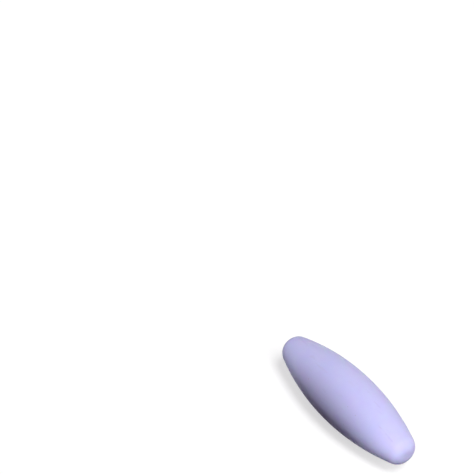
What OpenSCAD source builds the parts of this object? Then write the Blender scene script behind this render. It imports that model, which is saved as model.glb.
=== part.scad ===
// Magnetic stir bar of the oval pattern: a bar magnet sealed inside one smooth crowned jacket.
// The bar lies on its belly. Its long axis runs along X, +Z is up, and the origin is the point
// where the belly touches the floor of the vessel. All sizes are in millimetres.

/* [Jacket] */
// Length over both tips
bar_length = 64; // [50:1:80]
// Diameter of the belly, halfway along
belly_d = 20; // [18:0.5:26]
// Diameter of the small flat on each tip
tip_flat_d = 2.5; // [1:0.5:6]
// Radius that blends each flat into the crowned side
tip_round = 4.25; // [2:0.25:5]

/* [Magnet] */
// Diameter of the cast bar magnet
magnet_d = 10; // [6:0.5:10.5]
// Jacket material left beyond each end of the magnet
end_wall = 13; // [12:0.5:18]
// Chamfer ground on both ends of the magnet
magnet_chamfer = 0.8; // [0.3:0.1:1.5]
// Radial and end clearance between the magnet and the jacket moulded onto it
moulding_gap = 0; // [0:0.01:0.1]

/* [Hidden] */

// Facets to the full turn: the crowned side is a short piece of a large circle, so its circle has more
$fn = 120;
crown_fn = 480;

half_length = bar_length / 2;
belly_r = belly_d / 2;
flat_r = tip_flat_d / 2;

// Centre of the arc that rounds the tip's edge, as [distance from the axis, distance along it]
round_centre = [flat_r, half_length - tip_round];

// The crowned side is one arc. It is square to the radius at the belly and tangent to both tip
// arcs, which fixes its radius.
crown_r = (pow(belly_r - flat_r, 2) + pow(round_centre.y, 2) - pow(tip_round, 2))
    / (2 * (belly_r - flat_r - tip_round));
crown_centre = [belly_r - crown_r, 0];

// The two arcs meet on the line through their centres. This is a point on it, outside the jacket.
blend_direction = (round_centre - crown_centre) / norm(round_centre - crown_centre);
blend_outside = round_centre + belly_d * blend_direction;

magnet_length = bar_length - 2 * end_wall;

jacket_colour = [0.86, 0.85, 0.97];
magnet_colour = [0.42, 0.42, 0.44];

// Places a solid of revolution made about Z with its axis along the bar
module along_bar() {
    translate([0, 0, belly_r])
        rotate([0, 90, 0])
            children();
}

// Half section of the crowned side and the flats, open where the tip arcs go
module crown_section() {
    intersection() {
        translate(crown_centre)
            circle(r = crown_r, $fn = crown_fn);
        polygon([
            [0, -half_length],
            [flat_r, -half_length],
            [flat_r, -round_centre.y],
            [blend_outside.x, -blend_outside.y],
            blend_outside,
            round_centre,
            [flat_r, half_length],
            [0, half_length]
        ]);
    }
}

// Half section of one tip's rounded edge: the sector between the crowned side and the flat
module tip_section() {
    intersection() {
        translate(round_centre)
            circle(r = tip_round);
        polygon([round_centre, blend_outside, round_centre + [0, belly_d]]);
    }
}

// Bar with chamfered ends, made about Z, larger than the magnet by the clearance
module magnet_body(clearance) {
    end = magnet_length / 2 + clearance;
    side = magnet_d / 2 + clearance;
    rotate_extrude()
        polygon([
            [0, -end],
            [side - magnet_chamfer, -end],
            [side, magnet_chamfer - end],
            [side, end - magnet_chamfer],
            [side - magnet_chamfer, end],
            [0, end]
        ]);
}

// Jacket, moulded in one piece round the magnet, with no seam
module jacket() {
    color(jacket_colour)
        along_bar()
            difference() {
                rotate_extrude()
                    union() {
                        crown_section();
                        tip_section();
                        mirror([0, 1, 0])
                            tip_section();
                    }
                magnet_body(moulding_gap);
            }
}

// Cast bar magnet with a pole at each end
module magnet() {
    color(magnet_colour)
        along_bar()
            magnet_body(0);
}

jacket();
magnet();
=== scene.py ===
"""The looks of an oval magnetic stir bar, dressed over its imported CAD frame.

Everything is in metres, in the frame of the CAD model: the bar lies on its belly along X, +Z is up,
and the origin is the point where the belly touches the floor.
"""

import math
import random

import bmesh
import bpy
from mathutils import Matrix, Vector, noise


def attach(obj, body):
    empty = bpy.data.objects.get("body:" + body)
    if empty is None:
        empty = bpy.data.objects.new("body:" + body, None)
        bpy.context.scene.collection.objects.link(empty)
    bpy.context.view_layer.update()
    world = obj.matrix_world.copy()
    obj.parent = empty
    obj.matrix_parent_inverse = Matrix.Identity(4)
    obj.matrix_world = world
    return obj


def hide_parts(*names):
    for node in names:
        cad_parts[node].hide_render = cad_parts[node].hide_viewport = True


MM = 0.001

# The jacket, with the sizes of the CAD model
HALF_LENGTH = 32 * MM
BELLY_R = 10 * MM
TIP_FLAT_R = 1.25 * MM
TIP_ROUND = 4.25 * MM
BAR_CENTRE = Vector((0, 0, BELLY_R))

# The cavity that the magnet fills
CAVITY_R = 5 * MM
CAVITY_HALF = 19 * MM
CAVITY_CHAMFER = 0.8 * MM

# How finely the jacket and the floor are drawn
AROUND = 256
CROWN_STEPS = 290
ROUND_STEPS = 16
FLAT_STEPS = 6
CAVITY_AROUND = 96
CAVITY_SIDE_STEPS = 12
CAVITY_END_STEPS = 4
FLOOR_AROUND = 96

# Unevenness of the moulded skin: (size of a swell, its depth)
SWELLS = ((14 * MM, 0.045 * MM), (4.5 * MM, 0.012 * MM))

# Shallow dings from handling: how many, the range of their radii and that of their depths. Each
# falls off as a bell curve and is left out beyond its reach, in radii.
DINGS = 26
DING_RADII = (0.7 * MM, 1.7 * MM)
DING_DEPTHS = (0.012 * MM, 0.040 * MM)
DING_FALL = 2
DING_REACH = 2.2
DING_SEED = 11

# The one scratch that can be seen, on the upper side near the +X tip. Its dark line is narrower
# than its groove, and broken.
SCRATCH_START = Vector((21.0, -3.6, 16.6)) * MM
SCRATCH_END = Vector((27.8, -3.1, 14.7)) * MM
SCRATCH_WIDTH = 0.55 * MM
SCRATCH_DEPTH = 0.035 * MM
SCRATCH_FALL = 4
SCRATCH_LINE_WIDTH = 0.8 * SCRATCH_WIDTH
SCRATCH_BREAK_SIZE = 0.9 * MM
SCRATCH_BREAK_RANGE = (0.35, 0.60)
SCRATCH_DARKNESS = (0.10, 0.32)

# The photograph's square frame and the view in it
FRAME_PX = 474
FOCAL_PX = 1400
BAR_AT_PX = (346.1, 397.9)
VIEW_AZIMUTH = math.radians(50.5)
VIEW_ELEVATION = math.radians(43.0)
VIEW_DISTANCE = 0.468
SENSOR_MM = 36.0
NEAREST_SEEN = 0.01

# Distant light, as azimuth from +X towards +Y, elevation and spread in degrees, and a level where 1
# shows a colour as written: the key from high over the near end, and a lower one along the bar
KEY = {"azimuth": -10, "elevation": 62, "spread": 20, "level": 0.725}
FILL = {"azimuth": 0, "elevation": 38, "spread": 34, "level": 0.455}
AMBIENT_COLOUR = (0.034, 0.016, 0.034)

# Small lamps close to the bar, for what the distant light misses: (place, what it faces, watts)
SMALL_LAMPS = {
    "near_tip_lamp": (Vector((33, -28, 15)) * MM, Vector((54, 8, 12)) * MM, 0.0025),
    "far_tip_lamp": (Vector((-30, -28, 18)) * MM, Vector((-46, 8, 13)) * MM, 0.0019),
    "near_end_lamp": (Vector((95, -10, 6)) * MM, Vector((32, 0, 8)) * MM, 0.0014),
    "far_end_lamp": (Vector((-85, 8, 14)) * MM, Vector((-30, 0, 10)) * MM, 0.0030),
    "back_lamp": (Vector((-20, 70, 5)) * MM, Vector((-10, 0, 4)) * MM, 0.0036),
}
SMALL_LAMP_WIDTH = 16 * MM

# Floor: the colour that throws light back on the bar, and what the eye sees, which is a white that
# darkens in the shadow and a glow that doesn't
FLOOR_RADIUS = 3.0
FLOOR_BOUNCE = (0.040, 0.026, 0.038)
FLOOR_SHADED = 0.42
FLOOR_GLOW = 0.63
WHITE = (1.0, 1.0, 1.0)

# Jacket material, in linear colour: its body, the clouds in it, specks of dirt and rub marks
PTFE_COLOUR = (0.608, 0.600, 0.995)
PTFE_CLOUD = (0.584, 0.589, 0.985)
PTFE_SPECK = (0.40, 0.38, 0.52)
PTFE_RUB = (0.572, 0.566, 0.935)
PTFE_ROUGHNESS = (0.56, 0.68)
PTFE_IOR = 1.35
PTFE_SPECULAR = 0.28
PTFE_SCATTER = 0.8
PTFE_SCATTER_RADIUS = (1.4, 0.8, 1.2)
PTFE_SCATTER_SCALE = 0.6 * MM

# What is seen in the jacket material: the size of each kind of mark, and the range of its noise
# over which it comes in. Rub marks are streaks, inside patches, turned a little from the bar's axis.
CLOUD_SIZE = 11 * MM
CLOUD_RANGE = (0.35, 0.65)
SHEEN_SIZE = 3 * MM
SHEEN_RANGE = (0.3, 0.7)
RUB_PATCH_SIZE = 7 * MM
RUB_PATCH_RANGE = (0.52, 0.66)
RUB_LENGTH = 10 * MM
RUB_WIDTH = 1.1 * MM
RUB_RANGE = (0.50, 0.72)
RUB_TURN = (0.0, 0.25, 0.12)
SPECK_SPACING = 3.2 * MM
SPECK_EDGE = (0.03, 0.07)
SPECK_DARKNESS = 0.55

# Relief of the jacket material; rub marks are pressed in
WAVE_SIZE = 1.6 * MM
WAVE_HEIGHT = 0.10 * MM
WAVE_STRENGTH = 0.10
GRAIN_SIZE = 0.22 * MM
GRAIN_HEIGHT = 0.02 * MM
GRAIN_STRENGTH = 0.15
RUB_HEIGHT = 0.02 * MM
RUB_STRENGTH = -0.30

# Magnet material, in linear colour: the bare metal, the dark cast skin on it, and its pits
IRON_COLOUR = (0.150, 0.150, 0.160)
IRON_DARK = (0.085, 0.083, 0.088)
IRON_ROUGHNESS = (0.45, 0.70)
IRON_METALLIC = 0.85
IRON_SKIN_SIZE = 1.5 * MM
IRON_SKIN_RANGE = (0.35, 0.65)
PIT_SIZE = 0.4 * MM
PIT_RANGE = (0.3, 0.7)
PIT_HEIGHT = 0.05 * MM
PIT_STRENGTH = 0.5


# ---------------------------------------------------------------- profile and mesh


def arc(centre, radius, start, end, steps):
    """Points (x, r) along an arc in the section of the bar; angles run from the X axis."""
    angles = [start + (end - start) * i / steps for i in range(steps + 1)]
    return [(centre[0] + radius * math.cos(a), centre[1] + radius * math.sin(a)) for a in angles]


def half_profile():
    """The jacket's section from the belly to the middle of the +X tip, as points (x, r)."""
    round_x = HALF_LENGTH - TIP_ROUND
    spare = BELLY_R - TIP_FLAT_R
    crown_r = (spare**2 + round_x**2 - TIP_ROUND**2) / (2 * (spare - TIP_ROUND))
    crown_y = BELLY_R - crown_r
    joint = math.atan2(TIP_FLAT_R - crown_y, round_x)
    crown = arc((0, crown_y), crown_r, math.pi / 2, joint, CROWN_STEPS // 2)
    rounding = arc((round_x, TIP_FLAT_R), TIP_ROUND, joint, 0, ROUND_STEPS)
    flat = [(HALF_LENGTH, TIP_FLAT_R * (1 - i / FLAT_STEPS)) for i in range(1, FLAT_STEPS + 1)]
    return crown + rounding[1:] + flat


def cavity_half_profile():
    """The section of the space for the magnet, from its middle to the middle of its +X end."""
    end_r = CAVITY_R - CAVITY_CHAMFER
    side_end = CAVITY_HALF - CAVITY_CHAMFER
    side = [(side_end * i / CAVITY_SIDE_STEPS, CAVITY_R) for i in range(CAVITY_SIDE_STEPS + 1)]
    shares = [1 - i / CAVITY_END_STEPS for i in range(CAVITY_END_STEPS + 1)]
    return side + [(CAVITY_HALF, end_r * share) for share in shares]


def whole_profile(half):
    """Both halves of a section, from the middle of the -X end to the middle of the +X end."""
    return [(-x, r) for x, r in reversed(half[1:])] + half


def revolve(bm, profile, turns, inward=False):
    """Adds the closed skin that a section makes when it is turned about the bar's axis."""
    rings = []
    for x, r in profile:
        if r < 1e-9:
            rings.append([bm.verts.new((x, 0, BELLY_R))])
            continue
        angles = [2 * math.pi * k / turns for k in range(turns)]
        rings.append([bm.verts.new((x, r * math.sin(a), BELLY_R + r * math.cos(a))) for a in angles])
    for low, high in zip(rings, rings[1:]):
        for k in range(turns):
            a, b = low[k % len(low)], low[(k + 1) % len(low)]
            c, d = high[(k + 1) % len(high)], high[k % len(high)]
            corners = [v for i, v in enumerate((a, b, c, d)) if v not in (a, b, c, d)[:i]]
            bm.faces.new(corners if inward else corners[::-1])


def swell(place):
    """How far the moulded skin lies under its true surface at a place."""
    depth = 0.0
    for size, amount in SWELLS:
        depth += amount * 0.5 * (1 + noise.noise(place / size))
    return depth


def pick_dings(verts):
    """Places on the skin, each with the radius and the depth of a shallow ding."""
    chance = random.Random(DING_SEED)
    places = [vert.co.copy() for vert in chance.sample(verts, DINGS)]
    return [(place, chance.uniform(*DING_RADII), chance.uniform(*DING_DEPTHS)) for place in places]


def ding_depth(place, dings):
    """How far the dings lower the skin at a place; each one is a soft bowl."""
    depth = 0.0
    for centre, radius, deepest in dings:
        away = (place - centre).length / radius
        if away < DING_REACH:
            depth += deepest * math.exp(-DING_FALL * away**2)
    return depth


def scratch_depth(place):
    """How far the scratch lowers the skin at a place; it fades out towards both of its ends."""
    along = SCRATCH_END - SCRATCH_START
    share = min(max((place - SCRATCH_START).dot(along) / along.length_squared, 0.0), 1.0)
    aside = (place - SCRATCH_START - share * along).length / SCRATCH_WIDTH
    return SCRATCH_DEPTH * math.sin(math.pi * share) * math.exp(-SCRATCH_FALL * aside**2)


def make_jacket():
    """The moulded jacket: the crowned outer skin, uneven and dinged, and the wall round the magnet."""
    bm = bmesh.new()
    revolve(bm, whole_profile(half_profile()), AROUND)
    bm.normal_update()
    dings = pick_dings(list(bm.verts))
    normals = [vert.normal.copy() for vert in bm.verts]
    for vert, normal in zip(bm.verts, normals):
        depth = swell(vert.co) + ding_depth(vert.co, dings) + scratch_depth(vert.co)
        vert.co -= normal * depth
    revolve(bm, whole_profile(cavity_half_profile()), CAVITY_AROUND, inward=True)
    for face in bm.faces:
        face.smooth = True
    return as_object(bm, "moulded_jacket")


def as_object(bm, name):
    """The finished mesh as an object in the scene."""
    mesh = bpy.data.meshes.new(name)
    bm.to_mesh(mesh)
    bm.free()
    piece = bpy.data.objects.new(name, mesh)
    bpy.context.scene.collection.objects.link(piece)
    return piece


# ---------------------------------------------------------------- materials


def new_material(name):
    """An empty node material, and its output node."""
    material = bpy.data.materials.new(name)
    material.use_nodes = True
    material.node_tree.nodes.clear()
    output = material.node_tree.nodes.new("ShaderNodeOutputMaterial")
    return material, material.node_tree, output


def add(tree, kind, inputs=None, **settings):
    """A new node with its settings; each input is a value or the socket that feeds it."""
    node = tree.nodes.new(kind)
    for name, value in settings.items():
        setattr(node, name, value)
    for name, value in (inputs or {}).items():
        if isinstance(value, bpy.types.NodeSocket):
            tree.links.new(value, node.inputs[name])
        else:
            node.inputs[name].default_value = value
    return node


def rgba(colour):
    return (*colour, 1.0)


def mix_colour(tree, amount, low, high):
    """The colour `low` where amount is 0 and `high` where it is 1."""
    node = tree.nodes.new("ShaderNodeMix")
    node.data_type = "RGBA"
    sockets = {s.identifier: s for s in node.inputs}
    wanted = {"Factor_Float": amount, "A_Color": low, "B_Color": high}
    for name, value in wanted.items():
        if isinstance(value, bpy.types.NodeSocket):
            tree.links.new(value, sockets[name])
        else:
            sockets[name].default_value = value
    return next(s for s in node.outputs if s.identifier == "Result_Color")


def remap(tree, value, source, target=(0.0, 1.0)):
    """The value moved smoothly from the source range to the target range, and kept inside it."""
    inputs = {
        "Value": value,
        "From Min": source[0],
        "From Max": source[1],
        "To Min": target[0],
        "To Max": target[1],
    }
    node = add(tree, "ShaderNodeMapRange", inputs, interpolation_type="SMOOTHSTEP")
    return node.outputs["Result"]


def cloud(tree, place, size, detail=2.0, roughness=0.5):
    """Soft noise whose swells are about `size` metres across."""
    inputs = {"Vector": place, "Scale": 1 / size, "Detail": detail, "Roughness": roughness}
    return add(tree, "ShaderNodeTexNoise", inputs).outputs["Fac"]


def bumped(tree, height, strength, distance, normal=None):
    """The normal after a height pushes it about; a negative strength makes high values hollows."""
    inputs = {"Height": height, "Strength": abs(strength), "Distance": distance}
    if normal is not None:
        inputs["Normal"] = normal
    node = add(tree, "ShaderNodeBump", inputs, invert=strength < 0)
    return node.outputs["Normal"]


def streaks(tree, place, turn, length, width):
    """Noise drawn out into long thin marks along the bar, a little aslant."""
    inputs = {"Vector": place, "Rotation": turn, "Scale": (width / length, 1.0, 1.0)}
    drawn_out = add(tree, "ShaderNodeMapping", inputs)
    return cloud(tree, drawn_out.outputs["Vector"], width)


def line_mark(tree, place, start, end, width):
    """1 on a straight line from start to end, falling to 0 a width away from it."""
    along = end - start
    offset = add(tree, "ShaderNodeVectorMath", {0: place, 1: start}, operation="SUBTRACT")
    step = along / along.length_squared
    inputs = {0: offset.outputs["Vector"], 1: step}
    share = add(tree, "ShaderNodeVectorMath", inputs, operation="DOT_PRODUCT")
    inside = add(tree, "ShaderNodeClamp", {"Value": share.outputs["Value"]})
    inputs = {0: along, "Scale": inside.outputs["Result"]}
    nearest = add(tree, "ShaderNodeVectorMath", inputs, operation="SCALE")
    inputs = {0: offset.outputs["Vector"], 1: nearest.outputs["Vector"]}
    away = add(tree, "ShaderNodeVectorMath", inputs, operation="DISTANCE")
    return remap(tree, away.outputs["Value"], (0.0, width), (1.0, 0.0))


def product(tree, first, second):
    """Two values multiplied."""
    return add(tree, "ShaderNodeMath", {0: first, 1: second}, operation="MULTIPLY").outputs[0]


def ptfe_material():
    """Waxy white fluoropolymer: faint clouding, a few specks and rub marks, satin with a fine grain."""
    material, tree, output = new_material("white_fluoropolymer")
    place = add(tree, "ShaderNodeTexCoord").outputs["Object"]

    clouding = remap(tree, cloud(tree, place, CLOUD_SIZE, detail=3.0), CLOUD_RANGE)
    body = mix_colour(tree, clouding, rgba(PTFE_COLOUR), rgba(PTFE_CLOUD))
    patches = remap(tree, cloud(tree, place, RUB_PATCH_SIZE), RUB_PATCH_RANGE)
    marks = remap(tree, streaks(tree, place, RUB_TURN, RUB_LENGTH, RUB_WIDTH), RUB_RANGE)
    rub = product(tree, patches, marks)
    body = mix_colour(tree, rub, body, rgba(PTFE_RUB))
    scratch = line_mark(tree, place, SCRATCH_START, SCRATCH_END, SCRATCH_LINE_WIDTH)
    breaks = cloud(tree, place, SCRATCH_BREAK_SIZE)
    broken = remap(tree, breaks, SCRATCH_BREAK_RANGE, SCRATCH_DARKNESS)
    body = mix_colour(tree, product(tree, scratch, broken), body, rgba(PTFE_SPECK))
    cells = add(tree, "ShaderNodeTexVoronoi", {"Vector": place, "Scale": 1 / SPECK_SPACING})
    speck = remap(tree, cells.outputs["Distance"], SPECK_EDGE, (SPECK_DARKNESS, 0.0))
    body = mix_colour(tree, speck, body, rgba(PTFE_SPECK))

    normal = bumped(tree, cloud(tree, place, WAVE_SIZE), WAVE_STRENGTH, WAVE_HEIGHT)
    normal = bumped(tree, cloud(tree, place, GRAIN_SIZE), GRAIN_STRENGTH, GRAIN_HEIGHT, normal)
    normal = bumped(tree, rub, RUB_STRENGTH, RUB_HEIGHT, normal)
    sheen = cloud(tree, place, SHEEN_SIZE, detail=4.0)
    roughness = remap(tree, sheen, SHEEN_RANGE, PTFE_ROUGHNESS)

    inputs = {
        "Base Color": body,
        "Roughness": roughness,
        "Normal": normal,
        "IOR": PTFE_IOR,
        "Specular IOR Level": PTFE_SPECULAR,
        "Subsurface Weight": PTFE_SCATTER,
        "Subsurface Radius": PTFE_SCATTER_RADIUS,
        "Subsurface Scale": PTFE_SCATTER_SCALE,
    }
    shader = add(tree, "ShaderNodeBsdfPrincipled", inputs)
    tree.links.new(shader.outputs[0], output.inputs["Surface"])
    return material


def iron_material():
    """Cast magnet metal: a dull grey, mottled with its dark skin, and pitted."""
    material, tree, output = new_material("cast_magnet_metal")
    place = add(tree, "ShaderNodeTexCoord").outputs["Object"]
    skin = cloud(tree, place, IRON_SKIN_SIZE, detail=6.0, roughness=0.65)
    skin = remap(tree, skin, IRON_SKIN_RANGE)
    pits = cloud(tree, place, PIT_SIZE, detail=4.0, roughness=0.7)
    inputs = {
        "Base Color": mix_colour(tree, skin, rgba(IRON_DARK), rgba(IRON_COLOUR)),
        "Metallic": IRON_METALLIC,
        "Roughness": remap(tree, pits, PIT_RANGE, IRON_ROUGHNESS),
        "Normal": bumped(tree, pits, PIT_STRENGTH, PIT_HEIGHT),
    }
    shader = add(tree, "ShaderNodeBsdfPrincipled", inputs)
    tree.links.new(shader.outputs[0], output.inputs["Surface"])
    return material


def dress(piece, material):
    """Puts one material in every slot of a piece."""
    if not piece.material_slots:
        piece.data.materials.append(material)
    for slot in piece.material_slots:
        slot.material = material


# ---------------------------------------------------------------- stage, light and camera


def shows_background(tree):
    """1 for the rays that should see the white background, and 0 for those that only light things."""
    path = add(tree, "ShaderNodeLightPath")
    seen = path.outputs["Is Camera Ray"]
    for kind in ("Is Glossy Ray", "Is Transmission Ray"):
        either = add(tree, "ShaderNodeMath", operation="MAXIMUM")
        tree.links.new(seen, either.inputs[0])
        tree.links.new(path.outputs[kind], either.inputs[1])
        seen = either.outputs[0]
    return seen


def floor_material():
    """White to the eye with the bar's shadow on it, and dim for the light that it throws back."""
    material, tree, output = new_material("studio_floor")
    bounce = add(tree, "ShaderNodeBsdfDiffuse", {"Color": rgba(FLOOR_BOUNCE)})
    shaded = add(tree, "ShaderNodeBsdfDiffuse", {"Color": rgba([FLOOR_SHADED] * 3)})
    glow = add(tree, "ShaderNodeEmission", {"Color": rgba(WHITE), "Strength": FLOOR_GLOW})
    white = add(tree, "ShaderNodeAddShader")
    tree.links.new(shaded.outputs[0], white.inputs[0])
    tree.links.new(glow.outputs[0], white.inputs[1])
    choice = add(tree, "ShaderNodeMixShader", {"Fac": shows_background(tree)})
    tree.links.new(bounce.outputs[0], choice.inputs[1])
    tree.links.new(white.outputs[0], choice.inputs[2])
    tree.links.new(choice.outputs[0], output.inputs["Surface"])
    return material


def make_floor():
    """A wide round floor under the bar."""
    bm = bmesh.new()
    bmesh.ops.create_circle(bm, cap_ends=True, segments=FLOOR_AROUND, radius=FLOOR_RADIUS)
    floor = as_object(bm, "studio_floor")
    dress(floor, floor_material())


def make_world():
    """White behind everything, and a faint even light from it."""
    world = bpy.data.worlds.new("studio")
    world.use_nodes = True
    tree = world.node_tree
    tree.nodes.clear()
    dim = add(tree, "ShaderNodeBackground", {"Color": rgba(AMBIENT_COLOUR), "Strength": 1.0})
    white = add(tree, "ShaderNodeBackground", {"Color": rgba(WHITE), "Strength": 1.0})
    choice = add(tree, "ShaderNodeMixShader", {"Fac": shows_background(tree)})
    tree.links.new(dim.outputs[0], choice.inputs[1])
    tree.links.new(white.outputs[0], choice.inputs[2])
    output = add(tree, "ShaderNodeOutputWorld")
    tree.links.new(choice.outputs[0], output.inputs["Surface"])
    bpy.context.scene.world = world


def make_light(name, azimuth, elevation, spread, level):
    """A soft light so far away that it lights the whole floor evenly."""
    turn, rise = math.radians(azimuth), math.radians(elevation)
    source = Vector((math.cos(turn) * math.cos(rise), math.sin(turn) * math.cos(rise), math.sin(rise)))
    lamp = bpy.data.lights.new(name, "SUN")
    lamp.energy = math.pi * level
    lamp.angle = math.radians(spread)
    light = bpy.data.objects.new(name, lamp)
    light.rotation_mode = "QUATERNION"
    light.rotation_quaternion = source.to_track_quat("Z", "Y")
    bpy.context.scene.collection.objects.link(light)


def make_small_lamp(name, place, target, power):
    """A small round lamp near the floor that lights only the side it faces."""
    lamp = bpy.data.lights.new(name, "AREA")
    lamp.shape = "DISK"
    lamp.size = SMALL_LAMP_WIDTH
    lamp.energy = power
    light = bpy.data.objects.new(name, lamp)
    light.location = place
    light.rotation_mode = "QUATERNION"
    light.rotation_quaternion = (place - target).to_track_quat("Z", "Y")
    light.visible_camera = False
    light.visible_glossy = False
    bpy.context.scene.collection.objects.link(light)


def upright_turn(direction, seen_at):
    """Pitch and yaw of an upright camera that sees a world direction at a pixel of the frame."""
    across = (seen_at[0] - FRAME_PX / 2) / FOCAL_PX
    up = (FRAME_PX / 2 - seen_at[1]) / FOCAL_PX
    ray = Vector((across, up, -1)).normalized()
    tilt = math.atan2(ray.y, ray.z) - math.acos(direction.z / math.hypot(ray.y, ray.z))
    flat = math.cos(tilt) * ray.y - math.sin(tilt) * ray.z
    yaw = math.atan2(direction.y, direction.x) - math.atan2(flat, ray.x)
    return tilt % (2 * math.pi), yaw


def make_camera():
    """The camera at the photograph's viewing angle, with the bar where the photograph has it."""
    back = Vector((
        math.sin(VIEW_AZIMUTH) * math.cos(VIEW_ELEVATION),
        -math.cos(VIEW_AZIMUTH) * math.cos(VIEW_ELEVATION),
        math.sin(VIEW_ELEVATION),
    ))
    lens = bpy.data.cameras.new("camera")
    lens.sensor_width = SENSOR_MM
    lens.lens = SENSOR_MM * FOCAL_PX / FRAME_PX
    lens.clip_start = NEAREST_SEEN
    camera = bpy.data.objects.new("camera", lens)
    tilt, yaw = upright_turn(-back, BAR_AT_PX)
    camera.location = BAR_CENTRE + VIEW_DISTANCE * back
    camera.rotation_euler = (tilt, 0, yaw)
    bpy.context.scene.collection.objects.link(camera)
    bpy.context.scene.camera = camera


# ---------------------------------------------------------------- the scene


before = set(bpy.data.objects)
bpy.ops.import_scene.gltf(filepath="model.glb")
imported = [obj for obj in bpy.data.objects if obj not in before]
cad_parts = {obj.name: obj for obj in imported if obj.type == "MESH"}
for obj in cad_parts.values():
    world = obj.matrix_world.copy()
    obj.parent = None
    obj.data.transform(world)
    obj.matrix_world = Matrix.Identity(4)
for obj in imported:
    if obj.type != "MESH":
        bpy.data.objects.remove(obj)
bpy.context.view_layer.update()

jacket = make_jacket()
dress(jacket, ptfe_material())
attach(jacket, "root")
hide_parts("jacket")
dress(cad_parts["magnet"], iron_material())

make_floor()
make_world()
make_light("key", **KEY)
make_light("fill", **FILL)
for lamp_name, settings in SMALL_LAMPS.items():
    make_small_lamp(lamp_name, *settings)
make_camera()
bpy.context.scene.view_settings.view_transform = "Standard"
